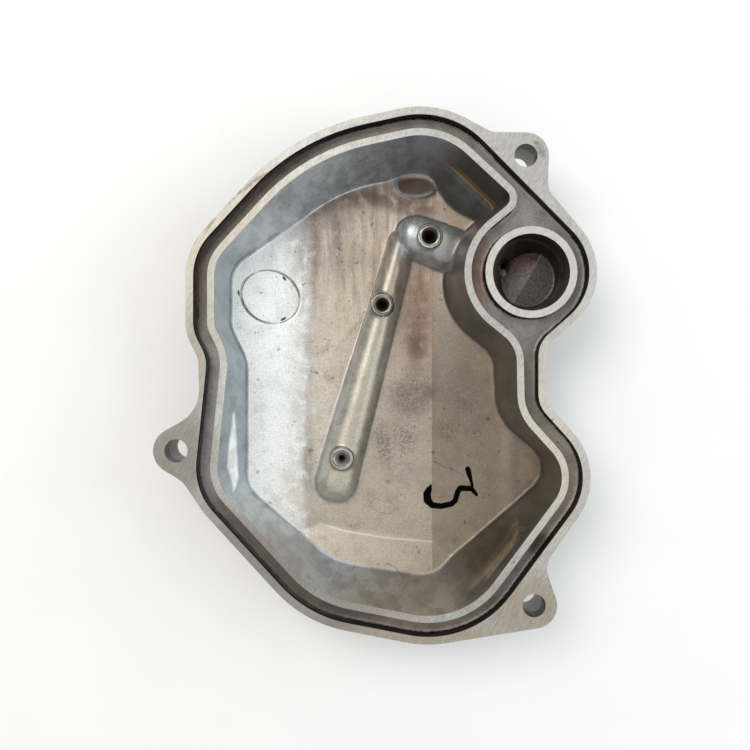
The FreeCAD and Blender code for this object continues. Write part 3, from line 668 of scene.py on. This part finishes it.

# %% [markdown]
# Baked oil lies in patches with ragged edges, and fingers and rags have left smudges. The dark band under
# the upper wall and the dark strip beside the rail are painted shade. Each stain is an oval that a cloud
# eats away, so no two edges look alike.

# %% Stain the floor
# name: across, down, half width, half height, turn, edge softness, colour, strength
FLOOR_STAINS_AND_SHADE = {
    "greyer towards the fold": (302, 330, 12, 190, 0, 0.9, (0.66, 0.64, 0.59), 0.5),
    "left of the fold, top": (300, 250, 9, 40, 0, 0.9, (0.58, 0.57, 0.53), 0.5),
    # Painted shade: the dark band along the foot of the upper wall
    "painted shade under the top wall": (352, 200, 52, 10, 8, 0.7, (0.14, 0.065, 0.045), 0.85),
    "painted shade below the pad": (408, 206, 34, 9, -8, 0.8, (0.11, 0.055, 0.04), 0.85),
    "top left of the middle": (335, 225, 30, 44, 0, 0.9, (0.31, 0.27, 0.24), 0.75),
    "streak by the fold": (314, 250, 4, 42, 0, 0.9, (0.20, 0.165, 0.14), 0.75),
    "second streak": (338, 240, 4, 46, 0, 0.9, (0.22, 0.18, 0.155), 0.6),
    "third streak": (352, 250, 3, 40, 4, 0.9, (0.26, 0.21, 0.17), 0.6),
    "pale streak": (328, 265, 5, 40, 0, 0.9, (0.50, 0.45, 0.40), 0.6),
    "warm middle": (395, 290, 44, 60, -15, 0.9, (0.36, 0.25, 0.185), 0.75),
    "reddish by the fold": (418, 320, 12, 46, 0, 0.8, (0.25, 0.13, 0.09), 0.7),
    "grey behind the arm": (440, 255, 7, 42, 0, 0.8, (0.27, 0.265, 0.245), 0.7),
    "pale lower middle": (345, 400, 34, 130, -14, 0.9, (0.58, 0.52, 0.43), 0.7),
    "pale beside the rail": (322, 440, 12, 90, 0, 0.9, (0.66, 0.61, 0.53), 0.7),
    "pale low": (370, 510, 66, 40, 0, 0.9, (0.52, 0.47, 0.38), 0.6),
    "grey smudge": (411, 400, 16, 14, 0, 0.9, (0.17, 0.145, 0.125), 0.55),
    "mottled smudge": (416, 345, 9, 14, 0, 0.9, (0.10, 0.085, 0.07), 0.7),
    "dark spot on the fold": (433, 391, 7, 6, 0, 0.9, (0.10, 0.09, 0.08), 0.7),
    "rust edge by the waist": (491, 370, 8, 50, 0, 0.9, (0.34, 0.235, 0.12), 0.6),
    "rust edge low": (528, 455, 10, 34, -20, 0.9, (0.34, 0.235, 0.12), 0.5),
    "right dimness": (470, 375, 30, 44, 0, 0.9, (0.19, 0.155, 0.125), 0.7),
    "grey beside the fold": (445, 330, 10, 60, 0, 0.9, (0.24, 0.225, 0.20), 0.6),
    "right low": (455, 470, 22, 50, 0, 0.9, (0.27, 0.24, 0.19), 0.6),
    "low right facet": (465, 565, 44, 30, 20, 0.7, (0.31, 0.27, 0.20), 0.9),
    "shade by the rail": (308, 455, 4, 40, 0, 0.9, (0.33, 0.31, 0.27), 0.7),
}
for across, down, half_x, half_y, turn, edge, tint, strength in FLOOR_STAINS_AND_SHADE.values():
    spot = cast.oval(across, down, half_x, half_y, turn, edge)
    ragged = cast.times(spot, cast.cloud(3.5, 0.22, 0.55, detail=6))
    cast.coat(tint, cast.times(level, ragged), strength)
# name: across, down, half width, half height, turn, colour
PRINTS = {
    "print left": (384, 447, 9, 20, 12, (0.19, 0.165, 0.14)),
    "print right": (405, 438, 11, 14, 20, (0.17, 0.145, 0.12)),
    "right smudge": (447, 430, 9, 11, 0, (0.13, 0.115, 0.09)),
    "smudge right of it": (471, 432, 9, 8, 0, (0.16, 0.14, 0.11)),
    "scattered dark": (412, 395, 22, 18, 30, (0.20, 0.17, 0.14)),
    "rubbed": (465, 395, 22, 24, 40, (0.16, 0.14, 0.11)),
}
for across, down, half_x, half_y, turn, tint in PRINTS.values():
    spot = cast.oval(across, down, half_x, half_y, turn, 0.6)
    ridges = cast.cloud(0.7, 0.38, 0.60, detail=6)
    cast.coat(tint, cast.times(level, cast.times(spot, ridges)), 0.7)
print("floor stains:", len(FLOOR_STAINS_AND_SHADE) + len(PRINTS))

# %% [markdown]
# Die-cast metal is never one tone: fine grain, dull clouds and a few black pits lie over everything.
# Along the foot of the upper wall, a painted highlight stands for the light on its fillet.

# %% Speckle the cast skin
cast.shade(0.84, cast.cloud(0.42, 0.44, 0.60, detail=3))
cast.shade(1.12, cast.cloud(0.55, 0.50, 0.66, detail=2))
cast.shade(0.86, cast.cloud(6, 0.45, 0.68, detail=6))
cast.shade(0.40, cast.cloud(0.9, 0.68, 0.73, detail=4))
cast.shade(0.55, cast.times(cast.cloud(2.6, 0.67, 0.70, detail=9), level))
# Painted highlight along the fillet at the foot of the upper wall
foot_highlight = cast.times(cast.between(facing, 0.76, 0.84), cast.between(facing, 0.94, 0.88))
foot_highlight = cast.times(foot_highlight, cast.between(cast.z, 7 * MM, 5.5 * MM))
cast.coat((0.85, 0.87, 0.88), cast.times(foot_highlight, cast.oval(338, 192, 58, 40, 0, 0.3)), 0.9)
cast.emboss(cast.cloud(0.6, 0.3, 0.7, detail=2), 0.010 * MM)
print("steps so far:", len(cast.tree.nodes))

# %% [markdown]
# Oil has run down behind the shelf and dried in an orange lens. A painted shadow darkens the wall above
# the shelf's crest, the crest has a painted highlight, and the oval pad is painted dark.

# %% Darken the wall behind the shelf's crest and the oval pad
SHELF_TOP = 16.7 * MM
above_crest = cast.between(cast.z, 15.9 * MM, 16.5 * MM)
oily = cast.times(above_crest, cast.between(cast.z, 19.6 * MM, 17.6 * MM))
crest = cast.times(cast.between(cast.z, 15.0 * MM, 15.8 * MM), cast.between(cast.z, 17.0 * MM, 16.4 * MM))
lens = cast.times(oily, cast.oval(477.5, 188.5, 31, 4, -47, 0.5, 17.4 * MM))
shadow = cast.oval(489, 186, 36, 14, -47, 0.6, 22 * MM)
# Painted shadow on the wall above the crest
cast.coat((0.055, 0.045, 0.036), cast.times(above_crest, shadow), 0.8)
# Painted highlight along the crest
crest = cast.times(crest, cast.oval(474, 188, 36, 9, -47, 0.3, SHELF_TOP))
cast.coat((0.55, 0.44, 0.30), crest, 0.75)
cast.coat((0.02, 0.016, 0.013), cast.oval(501, 203.5, 3.0, 4.5, 0, 0.8, SHELF_TOP), 0.85)
cast.coat((0.085, 0.055, 0.045), cast.times(level, cast.oval(415, 186, 20, 8.5, 0, 0.2, 5 * MM)), 0.95)
cast.coat((0.06, 0.035, 0.03), cast.times(level, cast.oval(404, 184, 10, 6, 20, 0.8, 5 * MM)), 0.6)
print("steps so far:", len(cast.tree.nodes))

# %% [markdown]
# The well below the counterbore has a slope at the left and a ledge at the right of a slanting fold.
# The slope is dark with a reddish top, and the ledge is grey and speckled. An oil hole opens at the left.
# Its inside is painted black as painted shade, with a pale painted highlight on its lip. The well's far
# right is darkened as painted shade.

# %% Paint the well
WELL_LEVEL = 14 * MM
fold_x, fold_y, _ = seen_at(527.5, 280.5, WELL_LEVEL)
beyond_fold = cast.laid((fold_x, fold_y), turn=-29.7)[0]
in_well = cast.times(cast.oval(531, 272, 38, 38, 0, 0.06, 15 * MM), cast.between(cast.z, 22 * MM, 21 * MM))
cast.coat((0.12, 0.108, 0.095), in_well)
right_of_well_fold = cast.between(beyond_fold, -0.2 * MM, 0.2 * MM)
cast.coat((0.085, 0.076, 0.066), cast.times(in_well, right_of_well_fold))
left_of_well_fold = cast.between(beyond_fold, 0.2 * MM, -0.2 * MM)
slope = cast.times(in_well, left_of_well_fold)
cast.coat((0.045, 0.040, 0.034), cast.times(slope, cast.oval(514, 292, 22, 18, -60, 0.9, WELL_LEVEL)))
cast.coat((0.050, 0.016, 0.012), cast.times(slope, cast.oval(524, 256, 15, 17, 0, 0.9, WELL_LEVEL)), 0.9)
cast.shade(0.55, cast.times(in_well, cast.cloud(0.8, 0.45, 0.62, detail=4)))
# Painted shade on the well's right side
cast.shade(0.30, cast.times(in_well, cast.oval(556, 252, 14, 34, 30, 0.9, WELL_LEVEL)))
# The oil hole: black inside as painted shade, then a pale painted highlight on its lip
cast.coat((0.015, 0.013, 0.012), cast.times(in_well, cast.oval(503.5, 268, 6.2, 8.3, 0, 0.15, WELL_LEVEL)))
crescent = cast.oval(503.5, 268, 6.0, 8.0, 0, 0.15, WELL_LEVEL)
crescent = cast.times(crescent, cast.oval(500.5, 273, 5.0, 6.0, 30, 0.3, WELL_LEVEL))
cast.coat((0.34, 0.34, 0.33), cast.times(in_well, crescent), 0.8)
print("steps so far:", len(cast.tree.nodes))

# %% [markdown]
# The three oil nozzles are turned: a ring, a dark countersink and a black jet in the middle.
# The upper one has been struck bright, the other two are dull and carry thin scribed circles.

# %% Paint the nozzles and the ejector ring
# name: across, down, height, bright ring outside and inside, countersink, jet, colour of the ring
JETS = {
    "lower": (341.3, 458.8, 9.9, 11.5, 5.0, 2.8, (0.34, 0.335, 0.31), (0.22, 0.21, 0.19)),
    "middle": (382.8, 304.6, 9.9, 11.0, 7.0, 4.4, (0.34, 0.32, 0.27), (0.05, 0.035, 0.025)),
    "arm": (430.1, 235.3, 12.9, 12.2, 8.6, 5.0, (0.66, 0.62, 0.54), (0.045, 0.032, 0.025)),
}
for across, down, top, wide, mouth, jet, tint, sink in JETS.values():
    above = cast.between(cast.z, (top - 3.6) * MM, (top - 3.2) * MM)
    cast.coat(tint, cast.times(above, cast.oval(across, down, wide, wide, 0, 0.06, top * MM)), 0.85)
    cast.coat(sink, cast.oval(across, down, mouth, mouth, 0, 0.08, top * MM))
    cast.coat((0.008, 0.007, 0.006), cast.oval(across, down, jet, jet, 0, 0.15, top * MM))
    for radius in (wide + 0.6, (wide + mouth) / 2):
        scribed = cast.times(above, cast.hoop(across, down, radius, radius, 0.8, height=top * MM))
        cast.coat((0.05, 0.045, 0.04), cast.times(scribed, cast.cloud(1.5, 0.3, 0.5)), 0.8)
# Painted shade along the ejector ring's groove
pressed = cast.hoop(270.9, 297.2, 29.2, 25.7, 1.1, turn=152, height=4.6 * MM)
cast.coat((0.10, 0.10, 0.095), cast.times(pressed, cast.cloud(2.5, 0.25, 0.6, detail=5)), 0.8)
RING_NICKS = [(284.3, 278.5, 1.2, 2.6, 40), (283.5, 319, 1.2, 3, -60), (240, 294, 1, 3, 10)]
for across, down, half_x, half_y, turn in RING_NICKS:
    nick = cast.oval(across, down, half_x, half_y, turn, 0.5, 4.6 * MM)
    cast.coat((0.03, 0.03, 0.028), cast.times(level, nick))
print("steps so far:", len(cast.tree.nodes))

# %% [markdown]
# Scratches, reflections and the marker stroke are drawn with a pen, as a chain of straight touches.
# Each touch is a capsule whose width may change: all points closer to a short line than half its width.


# %% Draw with a pen
def pen_line(finish, dots, height=FLOOR, edge=0.12 * MM):
    """A mask along dots given as across, down and width, all in the picture's pixels."""
    size = PIXEL * (EYE + milled_height - height) / EYE
    reach = None
    for (x0, y0, w0), (x1, y1, w1) in zip(dots, dots[1:]):
        start = Vector(seen_at(x0, y0, height)[:2])
        end = Vector(seen_at(x1, y1, height)[:2])
        along = end - start
        half = along.length / 2
        centre = (start + end) / 2
        turn = math.degrees(math.atan2(along.y, along.x))
        along_it, aside = finish.laid(centre, turn=turn)
        past = finish.step("Math", {0: along_it}, operation="ABSOLUTE").outputs[0]
        past = finish.step("Math", {0: past, 1: half}, operation="SUBTRACT").outputs[0]
        past = finish.step("Math", {0: past, 1: 0.0}, operation="MAXIMUM").outputs[0]
        ends = {"Value": along_it, "From Min": -half, "From Max": half}
        ends |= {"To Min": w0 / 2 * size, "To Max": w1 / 2 * size}
        wide = finish.step("MapRange", ends).outputs[0]
        off = finish.step("Math", {0: finish.length(past, aside), 1: wide}, operation="SUBTRACT").outputs[0]
        if reach is not None:
            off = finish.step("Math", {0: reach, 1: off}, operation="MINIMUM").outputs[0]
        reach = off
    return finish.between(reach, edge, -edge)


# %% [markdown]
# The pen first draws what is thin or tapered: a dried streak, the fold that shines at the bottom,
# the window's flame on the left wall, and the shade and the shine along the lower right ridge.

# %% Draw the thin lines
# name: dots, height and edge in mm, colour, strength
FLAT = FLOOR / MM
THIN_LINES = {
    "dried streak by the mark": (
        [(434, 461, 1.6), (443, 466, 1.2), (452, 469, 1), (463, 475, 1)],
        FLAT, 0.10, (0.13, 0.12, 0.09), 0.75),
    "bright fold at the bottom": (
        [(320, 523.5, 0.6), (345, 531, 1.3), (385, 537.5, 1.0), (432, 541.5, 1.0)],
        FLAT, 0.25, (0.80, 0.76, 0.67), 0.6),
    "hair below": (
        [(386, 562, 0.8), (395, 566, 0.8), (402, 574, 0.8)],
        4, 0.08, (0.10, 0.09, 0.08), 0.6),
    "dried edge": (
        [(368, 505, 0.8), (376, 498, 0.8), (385, 502, 0.8), (396, 498, 0.8),
         (398, 508, 0.8), (390, 514, 0.8), (378, 512, 0.8), (368, 505, 0.8)],
        FLAT, 0.10, (0.25, 0.22, 0.18), 0.55),
    "flame on the left wall": (
        [(234.1, 413, 0.4), (232.8, 440, 3.5), (231.8, 466, 5.6), (233.3, 478, 3.6), (235.2, 489, 0.5)],
        19, 0.25, (0.98, 1.0, 1.0), 0.9),
    "dark beside the rim": (
        [(544, 500, 16), (536, 520, 24), (516, 552, 28), (484, 590, 22)],
        22, 3.0, (0.040, 0.034, 0.025), 0.75),
    "dark below the ridge": (
        [(532, 505, 6), (505, 545, 14), (470, 585, 14)],
        9, 1.6, (0.14, 0.125, 0.10), 0.6),
    "ridge shine": (
        [(520, 524, 0.6), (512, 538, 1.6), (500, 553, 2.4), (489, 566, 2.8), (477, 579, 2), (467, 589, 0.6)],
        22.5, 0.8, (0.40, 0.28, 0.17), 0.65),
}
for dots, height_there, edge, tint, strength in THIN_LINES.values():
    cast.coat(tint, pen_line(cast, dots, height_there * MM, edge * MM), strength)
print("thin lines:", len(THIN_LINES))

# %% [markdown]
# Oil ran down the floor in streaks while the cover stood upright, the tool has dragged fine lines up the
# walls as it let go, and behind the shelf the oil dried orange.

# %% Streak the floor, drag the walls and lay the oil behind the shelf's crest
streaks = cast.cloud(2.2, 0.44, 0.62, detail=4, stretch=(1, 9, 1))
cast.shade(0.74, cast.times(streaks, cast.oval(370, 245, 70, 80, 0, 0.6)))
bright_streaks = cast.cloud(1.7, 0.52, 0.68, detail=4, stretch=(1, 8, 1))
cast.shade(1.25, cast.times(bright_streaks, cast.oval(365, 250, 62, 60, 0, 0.6)))
drags = cast.cloud(1.4, 0.46, 0.60, detail=5, stretch=(3, 3, 9))
cast.shade(0.80, cast.times(steep, drags))
runs = cast.cloud(1.0, 0.20, 0.5, detail=4, stretch=(6, 1, 1), turn=-47)
cast.coat((0.33, 0.15, 0.035), cast.times(lens, runs), 0.9)
print("steps so far:", len(cast.tree.nodes))

# %% [markdown]
# Somebody has numbered the cover by hand with a thick black marker. Ink hides the metal, so under it the
# surface is neither metallic nor as glossy.

# %% Ink the mark
# across, down and width of the pen
MARKER = [
    (467.3, 468.5, 5.4), (468.2, 472, 5.4), (470.5, 480, 3.2), (471.6, 485, 3), (470, 487.8, 5.4),
    (460, 487.6, 5.8), (457.5, 491, 5.4), (455, 500, 5.4), (451, 503.6, 5.6), (441, 506, 5.8),
    (432, 505.2, 6.2), (427.6, 500, 8.2), (427.2, 494, 8.0), (429, 489.5, 6.2), (431, 485.5, 2.2),
]
HOOK = [(470.5, 487.5, 4.6), (474, 491.5, 4), (475.8, 494, 3)]
ink = pen_line(cast, MARKER)
hook = pen_line(cast, HOOK)
either = cast.step("Math", {0: ink, 1: hook}, operation="MAXIMUM").outputs[0]
cast.coat((0.003, 0.0028, 0.0025), either)
bare = cast.step("Math", {0: 1.0, 1: either}, operation="SUBTRACT").outputs[0]
cast.tree.links.new(cast.times(bare, 0.55), cast.surface.inputs["Metallic"])
cast.tree.links.new(cast.times(bare, 0.5), cast.surface.inputs["Specular IOR Level"])
cast_material = cast.finish()
print("steps in the cast skin:", len(cast.tree.nodes))

# %% [markdown]
# ### The milled lands
# A face mill leaves fine slanting lines across both lands. Between them the metal is bright ivory.

# %% Paint the milled lands
milled = Finish("milled_land", (0.49, 0.485, 0.45), 0.55, 0.42)
lines = milled.cloud(0.24, 0.38, 0.62, detail=2, stretch=(10, 1, 1), turn=58)
milled.shade(1.12, milled.cloud(0.5, 0.5, 0.65, detail=3))
milled.shade(0.84, milled.cloud(0.8, 0.52, 0.66, detail=4))
milled.shade(0.90, milled.cloud(5, 0.45, 0.75, detail=4))
# Some tints are painted light: the bore ring and the inner right land are painted brighter to stand in for
# light
LAND_TINTS_AND_LIGHT = {
    "outer left": (225, 215, 70, 40, 45, 0.5, (0.42, 0.385, 0.32)),
    "left flank": (196, 300, 14, 60, 0, 0.5, (0.43, 0.395, 0.325)),
    "lower left": (290, 590, 120, 45, -38, 0.4, (0.24, 0.215, 0.195)),
    "left ear": (172, 452, 40, 50, 0, 0.4, (0.235, 0.225, 0.19)),
    "left waist": (196, 360, 16, 50, 0, 0.5, (0.33, 0.30, 0.25)),
    "inner left": (216, 300, 14, 60, 0, 0.5, (0.40, 0.39, 0.335)),
    "inner bottom": (350, 603, 110, 16, 0, 0.4, (0.36, 0.33, 0.30)),
    "bottom edge": (420, 636, 80, 14, 0, 0.5, (0.40, 0.345, 0.27)),
    "lower ear": (528, 605, 45, 30, 0, 0.5, (0.39, 0.34, 0.27)),
    "upper ear": (528, 155, 26, 26, 0, 0.5, (0.47, 0.46, 0.43)),
    "inner right, painted light": (545, 440, 40, 90, 0, 0.6, (0.68, 0.63, 0.54)),
    "outer right": (590, 330, 14, 130, 0, 0.6, (0.60, 0.60, 0.57)),
    "bore ring, painted light": (531, 272, 54, 54, 0, 0.15, (0.62, 0.61, 0.56)),
}
for across, down, half_x, half_y, turn, edge, tint in LAND_TINTS_AND_LIGHT.values():
    milled.coat(tint, milled.oval(across, down, half_x, half_y, turn, edge, milled_height), 0.8)
milled.shade(0.80, lines)
# Oil has crept over the groove's edge at the upper left, and the lands have small nicks
CREEP = [
    [(224.6, 206, 3.4), (233, 198, 3.4)], [(238, 193.5, 3), (256, 180, 4), (272, 171, 2.5)],
    [(277, 168, 2.5), (297, 155.5, 2)], [(205, 232, 3), (214, 219, 3.4)],
]
for dots in CREEP:
    crept = pen_line(milled, dots, milled_height, 0.3 * MM)
    milled.coat((0.20, 0.15, 0.115), milled.times(crept, milled.cloud(1.1, 0.36, 0.5, detail=5)), 0.8)
LAND_NICKS = [(552, 420, 2, 1, 30), (514, 562, 2, 1, 50), (541, 151, 3.5, 7, 25), (537, 143, 4, 2, -30)]
for across, down, half_x, half_y, turn in LAND_NICKS:
    nick = milled.oval(across, down, half_x, half_y, turn, 0.6, milled_height)
    milled.coat((0.22, 0.20, 0.18), milled.times(nick, milled.cloud(0.7, 0.35, 0.5, detail=4)), 0.9)
milled.emboss(lines, 0.010 * MM)
milled_material = milled.finish()
print("steps in the milled land:", len(milled.tree.nodes))

# %% [markdown]
# ### The seal groove
# The groove is left as cast and has held a seal in oil. Its floor is brown-grey at the left and paler
# where it widens round the bore, and its outer wall is painted black.

# %% Paint the seal groove
groove = Finish("groove_floor", (0.24, 0.215, 0.19), 0.5, 0.45)
GROOVE_TINTS = {
    "upper left": (240, 210, 70, 130, -30, 0.4, (0.105, 0.080, 0.066)),
    "left waist": (210, 400, 20, 60, 0, 0.5, (0.29, 0.285, 0.28)),
    "left ear side": (206, 450, 14, 50, 0, 0.5, (0.30, 0.295, 0.295)),
    "lower left": (300, 590, 120, 50, -35, 0.4, (0.14, 0.115, 0.095)),
    "bottom": (420, 622, 60, 14, 0, 0.5, (0.30, 0.24, 0.21)),
    "round the bore": (525, 250, 75, 110, 0, 0.4, (0.31, 0.285, 0.26)),
    "rusty beside the bore": (478, 265, 14, 40, 0, 0.6, (0.24, 0.16, 0.12)),
    "right": (570, 460, 30, 80, 0, 0.5, (0.40, 0.34, 0.28)),
    "brown patch": (540, 546, 12, 12, 50, 0.5, (0.07, 0.045, 0.03)),
    "black patch": (195, 313, 4, 11, 0, 0.3, (0.015, 0.014, 0.014)),
}
for across, down, half_x, half_y, turn, edge, tint in GROOVE_TINTS.values():
    groove.coat(tint, groove.oval(across, down, half_x, half_y, turn, edge, 25 * MM), 0.85)
groove.shade(0.74, groove.cloud(4, 0.4, 0.68, detail=6))
groove.shade(0.82, groove.cloud(0.5, 0.44, 0.60, detail=3))
groove.shade(0.35, groove.cloud(0.9, 0.68, 0.74, detail=4))
groove.emboss(groove.cloud(0.7, 0.3, 0.7, detail=2), 0.012 * MM)
groove_material = groove.finish()
wall = Finish("groove_wall", (0.018, 0.016, 0.015), 0.2, 0.5)
wall.surface.inputs["Specular IOR Level"].default_value = 0.2
# Paler below the top edge over the left part
paler_low_left = wall.times(wall.between(wall.z, milled_height - 1.6 * MM, milled_height - 2.1 * MM),
                  wall.oval(240, 420, 110, 330, 0, 0.4, 27 * MM))
wall.coat((0.15, 0.14, 0.135), paler_low_left)
wall.shade(0.6, wall.cloud(2.5, 0.4, 0.65, detail=5))
wall_material = wall.finish()
print("steps in the groove:", len(groove.tree.nodes) + len(wall.tree.nodes))

# %% [markdown]
# ### Bored walls and the outer skin
# The counterbore and the screw holes are turned, with rings. The outer skin is plain grey as cast.

# %% Paint the bored walls and the outer skin
bored = Finish("bored_wall", (0.07, 0.062, 0.055), 0.7, 0.35)
bored.emboss(bored.cloud(0.6, 0.35, 0.65, detail=1, stretch=(60, 60, 1)), 0.02 * MM)
bored_material = bored.finish()
skin = Finish("outer_skin", (0.42, 0.42, 0.41), 0.6, 0.48)
skin.shade(0.85, skin.cloud(0.6, 0.42, 0.62, detail=2))
skin.shade(0.8, skin.cloud(12, 0.45, 0.7, detail=4))
skin.emboss(skin.cloud(0.9, 0.3, 0.7, detail=2), 0.02 * MM)
skin_material = skin.finish()
print("steps in the skin:", len(skin.tree.nodes))

# %% [markdown]
# ### Which face gets which finish
# A face is milled if it is level and at a cut height, bored if it lies on a cutter's radius,
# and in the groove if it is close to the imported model's groove floor.
# Of the rest, a face with metal straight below it is inside the pan, and the others are outer skin.

# %% Give each face its finish
GROOVE_FLOOR = milled_height - 4.3 * MM
BORED_DEPTH = 8.1 * MM
packed_middles, packed_directions = face_table(cover.data)
in_groove = (abs(packed_middles[:, 2] - GROOVE_FLOOR) < 0.05 * MM) & (packed_directions[:, 2] > 0.99)
groove_tree = BVHTree.FromPolygons(packed_places, [packed_faces[i] for i in np.nonzero(in_groove)[0]])

middles, directions = face_table(casting.data)
heights = middles[:, 2]
finishes = [cast_material, milled_material, groove_material]
finishes += [wall_material, bored_material, skin_material]
CAST, MILLED, GROOVE, WALL, BORED, SKIN = range(6)
kinds = np.full(len(middles), CAST)
DOWN = Vector((0, 0, -1))
for i, (middle, direction) in enumerate(zip(middles, directions)):
    if direction[2] < -0.3 or solid_tree.ray_cast(Vector(middle + direction * 0.3 * MM), DOWN)[0] is None:
        kinds[i] = SKIN
for i in np.nonzero((heights > GROOVE_FLOOR - 0.4 * MM) & (heights < milled_height - 0.01 * MM))[0]:
    x, y, _ = middles[i]
    if groove_tree.find_nearest(Vector((x, y, GROOVE_FLOOR)), 0.3 * MM)[0] is not None:
        kinds[i] = GROOVE if directions[i][2] > 0.6 else WALL
for x, y, radius in [BORE, *EAR_HOLES]:
    round_wall = abs(distance_to(middles, x, y) - radius * MM) < 0.25 * MM
    upright = abs(directions[:, 2]) < 0.5
    kinds[round_wall & upright & (heights > milled_height - BORED_DEPTH)] = BORED
kinds[(heights > milled_height - 0.01 * MM) & (directions[:, 2] > 0.999)] = MILLED
casting.data.materials.clear()
for material in finishes:
    casting.data.materials.append(material)
casting.data.polygons.foreach_set("material_index", kinds)
bpy.ops.object.shade_smooth_by_angle(angle=math.radians(34))
print("faces with each finish:", np.bincount(kinds, minlength=6).tolist())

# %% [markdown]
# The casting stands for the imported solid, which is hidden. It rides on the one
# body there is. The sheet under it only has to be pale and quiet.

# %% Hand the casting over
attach(casting, "root")
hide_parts("valve_cover")
sheet_look = Finish("pale_sheet", (0.86, 0.86, 0.86), 0.0, 0.9)
sheet_look.shade(0.99, sheet_look.cloud(30, 0.4, 0.6))
floor.data.materials.append(sheet_look.finish())

# %% [markdown]
# The finished casting has to fill the imported box and stay inside it.
